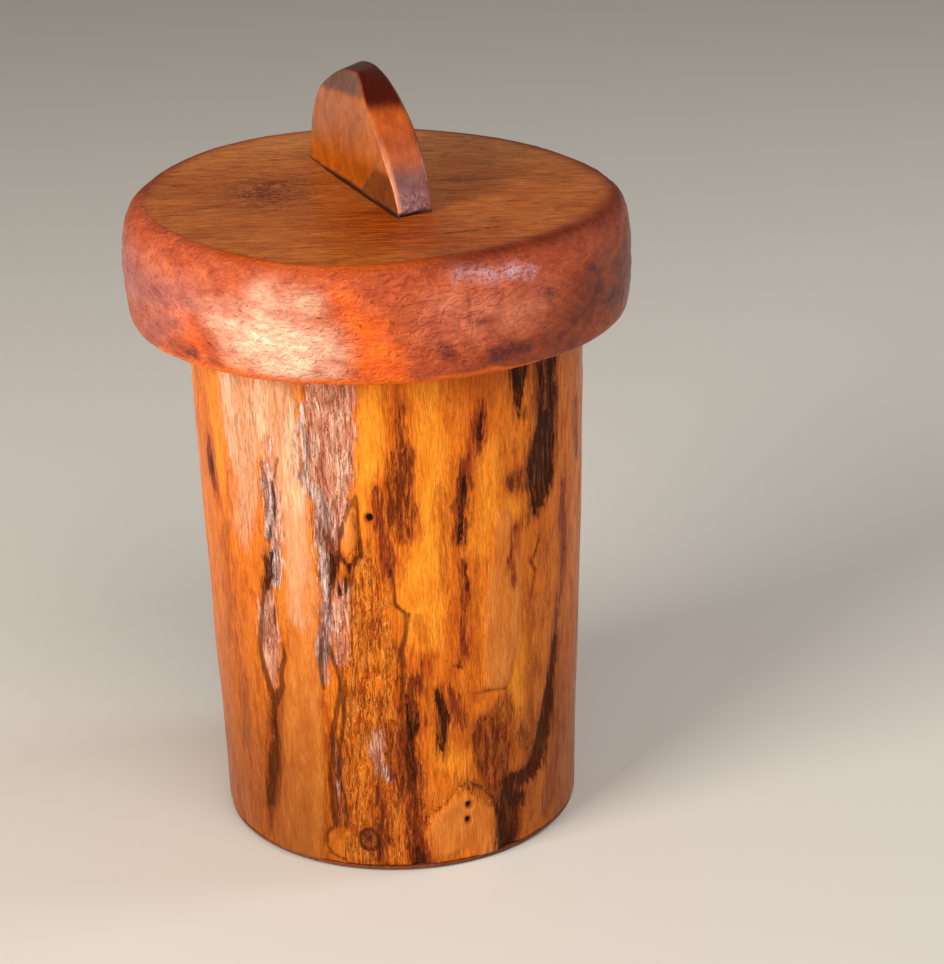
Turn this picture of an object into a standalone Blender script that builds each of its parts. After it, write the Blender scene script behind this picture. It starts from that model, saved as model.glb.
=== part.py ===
"""A hand-made lidded wooden mug: a bored log with a plugged foot, and a thick lift-off lid
with a locating spigot underneath and a carved half-moon fin on top for a handle.

Metres, +Z up. The origin is the centre of the flat foot, on the axis of the bore.
"""

import math

import bmesh
import bpy
from mathutils import Matrix, Vector

# Driving dimensions of the mug.
MOUTH_R = 0.0460
FOOT_R = 0.0425
BORE_R = 0.0365
RIM_Z = 0.1249
RIM_ROUND_R = 0.0015
FOOT_CHAMFER = 0.0006

# The foot is closed by a stepped disc: a thin flange that shows, and a plug in the bore.
FLANGE_R = 0.0421
FLANGE_T = 0.0012
PLUG_TOP_Z = 0.0110

# The lid overhangs the rim all round and bulges at its side.
LID_T = 0.0269
LID_UNDERSIDE_R = 0.0545
LID_BULGE_R = 0.0578
LID_BULGE_Z = 0.0130
LID_CREASE_R = 0.0555
LID_CREASE_ROUND_R = 0.0012
LID_OFFSET_X = -0.0017

# The spigot is the disc under the lid that drops into the bore.
SPIGOT_R = 0.0358
SPIGOT_T = 0.0090
SPIGOT_EDGE_R = 0.0012
SCREW_COUNT = 3
SCREW_CIRCLE_R = 0.0240
SCREW_HEAD_R = 0.0030
SCREW_SHANK_R = 0.0015
SCREW_HEAD_T = 0.0018
SCREW_LENGTH = 0.0200
SCREW_TIP_LENGTH = 0.0040
SCREW_TIP_R = 0.0004
SCREW_SLOT_WIDTH = 0.0007
SCREW_SLOT_DEPTH = 0.0007
SCREW_SLOT_TURN = math.radians(36.0)
SCREW_RECESS = 0.0003

# The handle stands on edge on the lid. The front of its left face is a straighter slope
# than the front of its right face, so its front edge is a canted, twisted band.
HANDLE_LENGTH = 0.0560
HANDLE_THICKNESS = 0.0084
HANDLE_CENTRE_XY = Vector((-0.0027, 0.0054))
HANDLE_TURN = math.radians(21.0)
HANDLE_LEFT_APEX = 0.49
HANDLE_LEFT_HEIGHT = 0.0268
HANDLE_LEFT_SLOPE_POWER = 1.3
HANDLE_RIGHT_APEX = 0.55
HANDLE_RIGHT_HEIGHT = 0.0262
HANDLE_RIGHT_SLOPE_POWER = 1.65
HANDLE_BACK_POWER = 2.2
HANDLE_EDGE_BEVEL = 0.0007

# Two dowels pin the handle to the lid.
DOWEL_R = 0.0020
DOWEL_LENGTH = 0.0210
DOWEL_IN_LID = 0.0120
DOWEL_CHAMFER = 0.0004
DOWEL_SPACING = 0.0220

QUARTER_TURN = math.pi / 2
GAP = 0.0003
CUT_OVERRUN = 0.0010
MERGE = 1e-6
BIG_SEGMENTS = 80
SMALL_SEGMENTS = 20
ARC_STEPS = 4
OUTLINE_STEPS = 10
LID_SIDE_STEPS = 6
SMOOTH_ANGLE = math.radians(35.0)

LID_Z = RIM_Z + GAP
LID_TOP_Z = LID_Z + LID_T


def clear_scene():
    for found in list(bpy.data.objects):
        bpy.data.objects.remove(found, do_unlink=True)


def material(name, colour, roughness, metallic=0.0):
    made = bpy.data.materials.new(name)
    made.use_nodes = True
    shader = made.node_tree.nodes["Principled BSDF"]
    shader.inputs["Base Color"].default_value = (*colour, 1.0)
    shader.inputs["Roughness"].default_value = roughness
    shader.inputs["Metallic"].default_value = metallic
    made.diffuse_color = (*colour, 1.0)
    return made


def object_from(bm, name, finish, location=(0, 0, 0), parent=None):
    """Turns the bmesh into a named object whose faces point out, at a place in the world."""
    bmesh.ops.recalc_face_normals(bm, faces=bm.faces)
    mesh = bpy.data.meshes.new(name)
    bm.to_mesh(mesh)
    bm.free()
    mesh.shade_smooth()
    mesh.set_sharp_from_angle(angle=SMOOTH_ANGLE)
    made = bpy.data.objects.new(name, mesh)
    bpy.context.collection.objects.link(made)
    if finish:
        made.data.materials.append(finish)
    place = Vector(location)
    if parent:
        made.parent = parent
        place -= parent.location
    made.location = place
    return made


def arc(centre_r, centre_z, radius, start, end, steps=ARC_STEPS):
    """Points of an arc in a turned profile, its angles in degrees from +X towards +Z."""
    points = []
    for i in range(steps + 1):
        angle = math.radians(start + (end - start) * i / steps)
        points.append((centre_r + radius * math.cos(angle), centre_z + radius * math.sin(angle)))
    return points


def turned(profile, segments):
    """Spins a profile of (radius, height) points about Z. A profile off the axis is closed."""
    bm = bmesh.new()
    corners = [bm.verts.new((r, 0, z)) for r, z in profile]
    ends = list(zip(corners, corners[1:]))
    if profile[0][0] > MERGE:
        ends.append((corners[-1], corners[0]))
    edges = [bm.edges.new(pair) for pair in ends]
    bmesh.ops.spin(
        bm,
        geom=corners + edges,
        cent=(0, 0, 0),
        axis=(0, 0, 1),
        angle=math.tau,
        steps=segments,
        use_merge=True,
    )
    bmesh.ops.remove_doubles(bm, verts=bm.verts, dist=MERGE)
    return bm


def cut(target, cutter):
    cutter.hide_render = True
    cutter.display_type = "WIRE"
    step = target.modifiers.new("cut_" + cutter.name, "BOOLEAN")
    step.operation = "DIFFERENCE"
    step.solver = "EXACT"
    step.object = cutter


def round_hole(target, name, centre_xy, low_z, high_z, radius):
    profile = [(0, high_z), (radius, high_z), (radius, low_z), (0, low_z)]
    cutter = object_from(turned(profile, SMALL_SEGMENTS), name, None, (*centre_xy, 0))
    cut(target, cutter)


def make_body(finish):
    """The log: tapered outside, bored straight through, with its rim rounded over."""
    foot_z = FLANGE_T + GAP
    outer_rim = arc(MOUTH_R - RIM_ROUND_R, RIM_Z - RIM_ROUND_R, RIM_ROUND_R, 90, 0)
    inner_rim = arc(BORE_R + RIM_ROUND_R, RIM_Z - RIM_ROUND_R, RIM_ROUND_R, 180, 90)
    foot = [
        (FOOT_R, foot_z + FOOT_CHAMFER),
        (FOOT_R - FOOT_CHAMFER, foot_z),
        (BORE_R, foot_z),
    ]
    return object_from(turned(outer_rim + foot + inner_rim, BIG_SEGMENTS), "body", finish)


def make_base_disc(finish):
    """The stepped disc that closes the foot and is the face that the mug stands on."""
    plug_r = BORE_R - GAP
    chamfer = FOOT_CHAMFER
    profile = [
        (0, PLUG_TOP_Z),
        (plug_r - chamfer, PLUG_TOP_Z),
        (plug_r, PLUG_TOP_Z - chamfer),
        (plug_r, FLANGE_T),
        (FLANGE_R, FLANGE_T),
        (FLANGE_R, chamfer),
        (FLANGE_R - chamfer, 0),
        (0, 0),
    ]
    return object_from(turned(profile, BIG_SEGMENTS), "base_disc", finish)


def lid_side():
    """The lid's side from its top crease, out over the bulge and in under it, as two
    quarter ellipses that meet at the bulge."""
    points = []
    upper_height = LID_T - LID_CREASE_ROUND_R - LID_BULGE_Z
    for i in range(1, LID_SIDE_STEPS + 1):
        angle = QUARTER_TURN * i / LID_SIDE_STEPS
        r = LID_CREASE_R + (LID_BULGE_R - LID_CREASE_R) * math.sin(angle)
        points.append((r, LID_BULGE_Z + upper_height * math.cos(angle)))
    for i in range(1, LID_SIDE_STEPS + 1):
        angle = QUARTER_TURN * i / LID_SIDE_STEPS
        r = LID_UNDERSIDE_R + (LID_BULGE_R - LID_UNDERSIDE_R) * math.cos(angle)
        points.append((r, LID_BULGE_Z * (1 - math.sin(angle))))
    return points


def make_lid(finish, axis):
    crease = arc(
        LID_CREASE_R - LID_CREASE_ROUND_R, LID_T - LID_CREASE_ROUND_R, LID_CREASE_ROUND_R, 90, 0
    )
    profile = [(0, LID_T)] + crease + lid_side() + [(0, 0)]
    place = (LID_OFFSET_X, 0, LID_Z)
    return object_from(turned(profile, BIG_SEGMENTS), "lid", finish, place, axis)


def make_spigot(finish, axis):
    top = SPIGOT_T - GAP
    edge = arc(SPIGOT_R - SPIGOT_EDGE_R, SPIGOT_EDGE_R, SPIGOT_EDGE_R, 0, -90)
    profile = [(0, top), (SPIGOT_R, top)] + edge + [(0, 0)]
    place = (0, 0, LID_Z - SPIGOT_T)
    return object_from(turned(profile, BIG_SEGMENTS), "lid_spigot", finish, place, axis)


def screw_profile(spare):
    """A countersunk screw, head down, or with some spare width all round, the hole for it."""
    shank_r = SCREW_SHANK_R + spare
    return [
        (0, SCREW_LENGTH + spare),
        (SCREW_TIP_R + spare, SCREW_LENGTH + spare),
        (shank_r, SCREW_LENGTH - SCREW_TIP_LENGTH),
        (shank_r, SCREW_HEAD_T),
        (SCREW_HEAD_R + spare, -spare),
        (0, -spare),
    ]


def make_spigot_screws(finish, axis, lid, spigot):
    """The screws that hold the spigot up against the lid, each with a driver slot."""
    head_z = LID_Z - SPIGOT_T + SCREW_RECESS
    for i in range(SCREW_COUNT):
        angle = math.tau * (i + 0.5) / SCREW_COUNT
        place = (SCREW_CIRCLE_R * math.cos(angle), SCREW_CIRCLE_R * math.sin(angle), head_z)
        name = f"spigot_screw_{i + 1}"
        screw = object_from(turned(screw_profile(0), SMALL_SEGMENTS), name, finish, place, axis)

        # The slot's cutter is centred on the head's face, so half its height is the depth.
        slot_bm = bmesh.new()
        slot_length = 2 * (SCREW_HEAD_R + CUT_OVERRUN)
        size = (slot_length, SCREW_SLOT_WIDTH, 2 * SCREW_SLOT_DEPTH)
        turn = Matrix.Rotation(angle + SCREW_SLOT_TURN, 4, "Z")
        bmesh.ops.create_cube(slot_bm, size=1.0, matrix=turn @ Matrix.Diagonal((*size, 1.0)))
        cut(screw, object_from(slot_bm, name + "_slot", None, place))

        hole = object_from(turned(screw_profile(GAP), SMALL_SEGMENTS), name + "_hole", None, place)
        cut(spigot, hole)
        cut(lid, hole)


def half_moon(apex, height, slope_power):
    """Half of a fin's outline from its front foot over the top to its back foot, as two
    superellipse quarters: (distance from the front foot, height) pairs."""
    front_reach = apex * HANDLE_LENGTH
    back_reach = HANDLE_LENGTH - front_reach
    points = []
    for i in range(OUTLINE_STEPS + 1):
        angle = QUARTER_TURN * i / OUTLINE_STEPS
        power = 2 / slope_power
        along = front_reach * (1 - math.cos(angle) ** power)
        points.append((along, height * math.sin(angle) ** power))
    for i in range(1, OUTLINE_STEPS + 1):
        angle = QUARTER_TURN * i / OUTLINE_STEPS
        power = 2 / HANDLE_BACK_POWER
        along = front_reach + back_reach * math.sin(angle) ** power
        points.append((along, height * max(math.cos(angle), 0.0) ** power))
    return points


def make_handle(finish, axis):
    """The fin, with its front foot towards -Y before it is turned. It is a loft between the
    outlines of its left and right faces."""
    left = half_moon(HANDLE_LEFT_APEX, HANDLE_LEFT_HEIGHT, HANDLE_LEFT_SLOPE_POWER)
    right = half_moon(HANDLE_RIGHT_APEX, HANDLE_RIGHT_HEIGHT, HANDLE_RIGHT_SLOPE_POWER)
    bm = bmesh.new()
    faces = []
    for side, outline in ((-1, left), (1, right)):
        x = side * HANDLE_THICKNESS / 2
        faces.append([bm.verts.new((x, y - HANDLE_LENGTH / 2, z)) for y, z in outline])
    left_ring, right_ring = faces
    bm.faces.new(left_ring)
    bm.faces.new(reversed(right_ring))
    for i in range(len(left_ring)):
        j = (i + 1) % len(left_ring)
        bm.faces.new((left_ring[i], right_ring[i], right_ring[j], left_ring[j]))
    bmesh.ops.rotate(bm, verts=bm.verts, matrix=Matrix.Rotation(HANDLE_TURN, 3, "Z"))

    place = (*HANDLE_CENTRE_XY, LID_TOP_Z + GAP)
    handle = object_from(bm, "handle", finish, place, axis)
    bevel = handle.modifiers.new("worn_edges", "BEVEL")
    bevel.width = HANDLE_EDGE_BEVEL
    bevel.segments = 2
    bevel.limit_method = "ANGLE"
    bevel.angle_limit = SMOOTH_ANGLE
    return handle


def make_handle_dowels(finish, axis, lid, handle):
    """The two hidden dowels, half in the lid and half in the fin."""
    low_z = LID_TOP_Z - DOWEL_IN_LID
    along = Vector((-math.sin(HANDLE_TURN), math.cos(HANDLE_TURN)))
    profile = [
        (0, DOWEL_LENGTH),
        (DOWEL_R - DOWEL_CHAMFER, DOWEL_LENGTH),
        (DOWEL_R, DOWEL_LENGTH - DOWEL_CHAMFER),
        (DOWEL_R, DOWEL_CHAMFER),
        (DOWEL_R - DOWEL_CHAMFER, 0),
        (0, 0),
    ]
    for name, side in (("handle_dowel_front", -1), ("handle_dowel_rear", 1)):
        centre = HANDLE_CENTRE_XY + side * DOWEL_SPACING / 2 * along
        object_from(turned(profile, SMALL_SEGMENTS), name, finish, (*centre, low_z), axis)
        hole_r = DOWEL_R + GAP
        over_z = LID_TOP_Z + CUT_OVERRUN
        round_hole(lid, name + "_lid_hole", centre, low_z - GAP, over_z, hole_r)
        top_z = low_z + DOWEL_LENGTH + GAP
        round_hole(handle, name + "_fin_hole", centre, LID_TOP_Z - CUT_OVERRUN, top_z, hole_r)


def main():
    clear_scene()
    log_wood = material("log_wood", (0.62, 0.22, 0.05), 0.35)
    lid_wood = material("lid_wood", (0.36, 0.07, 0.02), 0.30)
    fin_wood = material("fin_wood", (0.38, 0.12, 0.05), 0.30)
    pale_wood = material("pale_wood", (0.55, 0.36, 0.18), 0.60)
    brass = material("brass", (0.60, 0.42, 0.16), 0.35, 1.0)

    lid_axis = bpy.data.objects.new("lid_axis", None)
    bpy.context.collection.objects.link(lid_axis)
    lid_axis.location = (0, 0, RIM_Z)

    make_body(log_wood)
    make_base_disc(lid_wood)
    lid = make_lid(lid_wood, lid_axis)
    spigot = make_spigot(lid_wood, lid_axis)
    make_spigot_screws(brass, lid_axis, lid, spigot)
    handle = make_handle(fin_wood, lid_axis)
    make_handle_dowels(pale_wood, lid_axis, lid, handle)


main()
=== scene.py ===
"""The looks of a hand-made lidded wooden mug: a stripped log with a plugged foot, and a thick
redder lid with a carved fin for a handle.

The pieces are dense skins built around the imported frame. Lengths in the surface design are in
millimetres, because the marks on the wood are a few millimetres across; meshes are in metres.
Angles go round the mug in degrees, from 0 at the front (-Y) towards the right (+X).
"""

import itertools
import math

import bpy
import numpy as np
from mathutils import Matrix, Vector


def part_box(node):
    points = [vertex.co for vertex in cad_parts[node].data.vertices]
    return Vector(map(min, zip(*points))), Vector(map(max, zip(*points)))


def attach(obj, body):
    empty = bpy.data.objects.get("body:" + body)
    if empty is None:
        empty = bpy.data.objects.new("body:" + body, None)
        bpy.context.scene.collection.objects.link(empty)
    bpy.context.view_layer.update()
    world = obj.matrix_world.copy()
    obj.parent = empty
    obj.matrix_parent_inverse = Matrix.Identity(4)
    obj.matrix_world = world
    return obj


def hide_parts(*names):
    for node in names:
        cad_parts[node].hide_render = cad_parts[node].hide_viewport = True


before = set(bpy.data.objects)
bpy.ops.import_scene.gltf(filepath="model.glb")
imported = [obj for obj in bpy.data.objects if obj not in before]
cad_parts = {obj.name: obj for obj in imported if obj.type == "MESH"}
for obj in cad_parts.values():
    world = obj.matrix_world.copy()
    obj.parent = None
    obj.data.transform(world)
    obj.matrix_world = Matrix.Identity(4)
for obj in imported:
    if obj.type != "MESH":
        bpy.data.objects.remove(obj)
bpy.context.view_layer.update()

MM = 0.001

# The camera stands in front of the mug, and looks down on its lid.
CAMERA_AT = (-0.0043, -0.6127, 0.3271)
CAMERA_YAW = math.radians(2.166)
CAMERA_PITCH = math.radians(21.944)
CAMERA_ROLL = math.radians(-1.375)
CAMERA_LENS_MM = 104.27

# The log. Its outer skin has most of the rows, so that its marks and relief are real shape.
LOG_COLUMNS = 480
LOG_ROWS = 180
LOG_BORE_ROWS = 12
LOG_FOOT_R = 42.5
LOG_BORE_R = 36.5
LOG_RIM_ROUND = 1.6

# The lid and the handle.
LID_COLUMNS = 420
LID_SIDE_ROWS = 70
LID_TOP_ROWS = 46
LID_UNDER_ROWS = 10
LID_SHOULDER_R = 51.6
LID_SHOULDER_POWER = 2.5
LID_BULGE_R = 57.8
LID_BULGE_Z = 13.0
LID_UNDERSIDE_R = 54.3
LID_UNDERSIDE_SPREAD = 1.6
LID_LOW_POWER = 2.8
HANDLE_LENGTH = 56.0
HANDLE_THICKNESS = 8.4
HANDLE_TURN = math.radians(21.0)
HANDLE_LEFT = {"apex": 0.49, "front_power": 1.3, "back_power": 2.1}
HANDLE_RIGHT = {"apex": 0.55, "front_power": 1.65, "back_power": 2.4}
HANDLE_RIGHT_SETBACK = 1.2
HANDLE_STEPS = 90
HANDLE_FACE_ROWS = 34
HANDLE_BAND_ROWS = 14

# The depth in mm that stands for a place well outside every mark.
OUTSIDE = -60.0


# ---- noise and surface fields


def lattice(cells, seed):
    """A repeatable number from -1 to 1 for each whole-number lattice point."""
    mixed = cells @ np.array([73856093, 19349663, 83492791]) + seed * 2654435761
    mixed = (mixed ^ (mixed >> 13)) * 1274126177
    mixed = mixed ^ (mixed >> 16)
    return (mixed & 0xFFFF) / 32767.5 - 1.0


def noise(points, grain, seed=0, octaves=2):
    """Smooth noise from about -1 to 1 at points in mm, of this grain size along X, Y and Z."""
    total = 0.0
    for octave in range(octaves):
        at = points * 2.0**octave / np.asarray(grain, float)
        base = np.floor(at).astype(np.int64)
        part = at - base
        part = part * part * (3 - 2 * part)
        for corner in itertools.product((0, 1), repeat=3):
            weight = np.prod(np.where(corner, part, 1 - part), axis=-1)
            total = total + weight * lattice(base + corner, seed + 17 * octave) / 2**octave
    return total


def step(value, low, high):
    """0 below low, 1 above high, and smooth between."""
    part = np.clip((value - low) / (high - low), 0, 1)
    return part * part * (3 - 2 * part)


def inside(angle, height, radius, streaks):
    """How many mm each point is inside the nearest streak, negative outside. A streak is a
    list of (angle, height, half width) stations."""
    best = np.full(angle.shape, OUTSIDE)
    per_degree = math.radians(1) * radius
    for stations in streaks:
        for (a0, z0, w0), (a1, z1, w1) in itertools.pairwise(stations):
            x = ((angle - a0 + 180) % 360 - 180) * per_degree
            y = height - z0
            run_x = ((a1 - a0 + 180) % 360 - 180) * per_degree
            run_y = z1 - z0
            along = np.clip((x * run_x + y * run_y) / (run_x**2 + run_y**2), 0, 1)
            gap = np.hypot(x - along * run_x, y - along * run_y)
            best = np.maximum(best, w0 + (w1 - w0) * along - gap)
    return best


def dot(angle, height, half_width, length=0.2):
    """A streak so short that it is a dot."""
    return [(angle, height, half_width), (angle, height + length, half_width)]


# ---- meshes


def skin(name, points, poles=False, ring=False):
    """A mesh over rows and columns of points in mm. Rows run down the outside, and columns go
    round. With poles the first and last rows close to a point, and with ring they meet."""
    rows, columns = points.shape[:2]
    index = np.arange(rows * columns).reshape(rows, columns)
    below = np.roll(index, -1, axis=0)
    if not ring:
        index, below = index[:-1], below[:-1]
    quads = np.stack([index, below, np.roll(below, -1, 1), np.roll(index, -1, 1)], -1)
    faces = quads.reshape(-1, 4).tolist()
    corners = points.reshape(-1, 3)
    if poles:
        top, foot = len(corners), len(corners) + 1
        corners = np.concatenate([corners, [points[0].mean(0)], [points[-1].mean(0)]])
        last = (rows - 1) * columns
        for i in range(columns):
            j = (i + 1) % columns
            faces.append((top, i, j))
            faces.append((foot, last + j, last + i))
    mesh = bpy.data.meshes.new(name)
    mesh.from_pydata((corners * MM).tolist(), [], faces)
    mesh.shade_smooth()
    made = bpy.data.objects.new(name, mesh)
    bpy.context.scene.collection.objects.link(made)
    return made


def keep_field(piece, name, values):
    """Stores one number per point on the mesh, for the material to read."""
    flat = np.zeros(len(piece.data.vertices), np.float32)
    flat[: values.size] = values.reshape(-1)
    piece.data.attributes.new(name, "FLOAT", "POINT").data.foreach_set("value", flat)


def set_slots(piece, materials, slot_of_face=None):
    for material in materials:
        piece.data.materials.append(material)
    if slot_of_face is not None:
        piece.data.polygons.foreach_set("material_index", slot_of_face.astype(np.int32))


def around(columns):
    """Column angles in degrees, from -180, and the matching X and Y directions."""
    angle = np.arange(columns) * 360.0 / columns - 180.0
    turn = np.radians(angle)
    return angle, np.stack([np.sin(turn), -np.cos(turn)], -1)


def turned_points(radius, height, directions):
    """Points at each row's radius and height, in each column's direction. Both may vary
    along the row."""
    shape = np.broadcast_shapes(np.shape(radius), np.shape(height), (1, len(directions)))
    radius = np.broadcast_to(radius, shape)
    height = np.broadcast_to(height, shape)
    return np.concatenate([radius[..., None] * directions, height[..., None]], -1)


# ---- materials


def rgb(red, green, blue):
    """A colour given in display values from 0 to 255, as the linear values a shader takes."""
    linear = []
    for level in (red, green, blue):
        level /= 255
        linear.append(level / 12.92 if level <= 0.04045 else ((level + 0.055) / 1.055) ** 2.4)
    return (*linear, 1.0)


class Graph:
    """The node tree of one material. Each method adds a node and returns its output."""

    def __init__(self, name):
        self.material = bpy.data.materials.new(name)
        self.material.use_nodes = True
        self.nodes = self.material.node_tree.nodes
        self.links = self.material.node_tree.links
        self.shader = self.nodes["Principled BSDF"]
        self.place = self.add("ShaderNodeTexCoord").outputs["Object"]

    def add(self, kind, inputs=(), **settings):
        node = self.nodes.new(kind)
        for name, value in settings.items():
            setattr(node, name, value)
        for socket, value in dict(inputs).items():
            self.give(node.inputs[socket], value)
        return node

    def give(self, socket, value):
        if isinstance(value, bpy.types.NodeSocket):
            self.links.new(value, socket)
        else:
            socket.default_value = value

    def field(self, name):
        return self.add("ShaderNodeAttribute", attribute_name=name).outputs["Fac"]

    def math(self, operation, a, b=0.0):
        return self.add("ShaderNodeMath", {0: a, 1: b}, operation=operation).outputs[0]

    def times(self, a, b):
        return self.math("MULTIPLY", a, b)

    def step(self, value, low, high, start=0.0, end=1.0):
        inputs = {"Value": value, "From Min": low, "From Max": high, "To Min": start, "To Max": end}
        node = self.add("ShaderNodeMapRange", inputs, interpolation_type="SMOOTHSTEP")
        return node.outputs["Result"]

    def mix(self, factor, a, b):
        """Colour a where factor is 0, and b where it is 1."""
        node = self.add("ShaderNodeMix", data_type="RGBA")
        for socket, value in ((0, factor), (6, a), (7, b)):
            self.give(node.inputs[socket], value)
        return node.outputs[2]

    def lay(self, ground, factor, strength, colour):
        """The ground with the colour over it, as strongly as both factors say."""
        return self.mix(self.times(factor, strength), ground, colour)

    def shade(self, factor, colour, amount):
        """The colour multiplied by a brightness from 1 - amount to 1 + amount."""
        brightness = self.step(factor, 0.0, 1.0, 1 - amount, 1 + amount)
        node = self.add("ShaderNodeVectorMath", {0: colour, "Scale": brightness}, operation="SCALE")
        return node.outputs[0]

    def noise(self, grain_mm, detail=3.0, roughness=0.55, distortion=0.0, shift=0.0):
        """Noise that fills 0 to 1, whose grain has this size in mm along X, Y and Z."""
        scale = [1 / (size * MM) for size in grain_mm]
        inputs = {"Vector": self.place, "Location": (shift, shift, shift), "Scale": scale}
        spread = self.add("ShaderNodeMapping", inputs).outputs[0]
        inputs = {
            "Vector": spread,
            "Scale": 1.0,
            "Detail": detail,
            "Roughness": roughness,
            "Distortion": distortion,
        }
        raw = self.add("ShaderNodeTexNoise", inputs).outputs["Fac"]
        limits = {"Value": raw, "From Min": 0.28, "From Max": 0.72}
        return self.add("ShaderNodeMapRange", limits).outputs["Result"]

    def veins(self, value, width):
        """1 along the lines where the value is a half, and 0 away from them."""
        off = self.math("ABSOLUTE", self.math("SUBTRACT", value, 0.5))
        return self.step(off, width, 0.0)

    def bump(self, height, depth_mm, normal=None):
        inputs = {"Height": height, "Distance": depth_mm * MM, "Strength": 1.0}
        node = self.add("ShaderNodeBump", inputs)
        if normal:
            self.links.new(normal, node.inputs["Normal"])
        return node.outputs[0]

    def finish(self, colour, roughness, normal=None, **constants):
        self.give(self.shader.inputs["Base Color"], colour)
        self.give(self.shader.inputs["Roughness"], roughness)
        if normal:
            self.give(self.shader.inputs["Normal"], normal)
        for name, value in constants.items():
            self.shader.inputs[name.replace("_", " ")].default_value = value
        return self.material


# ---- the log

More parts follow.
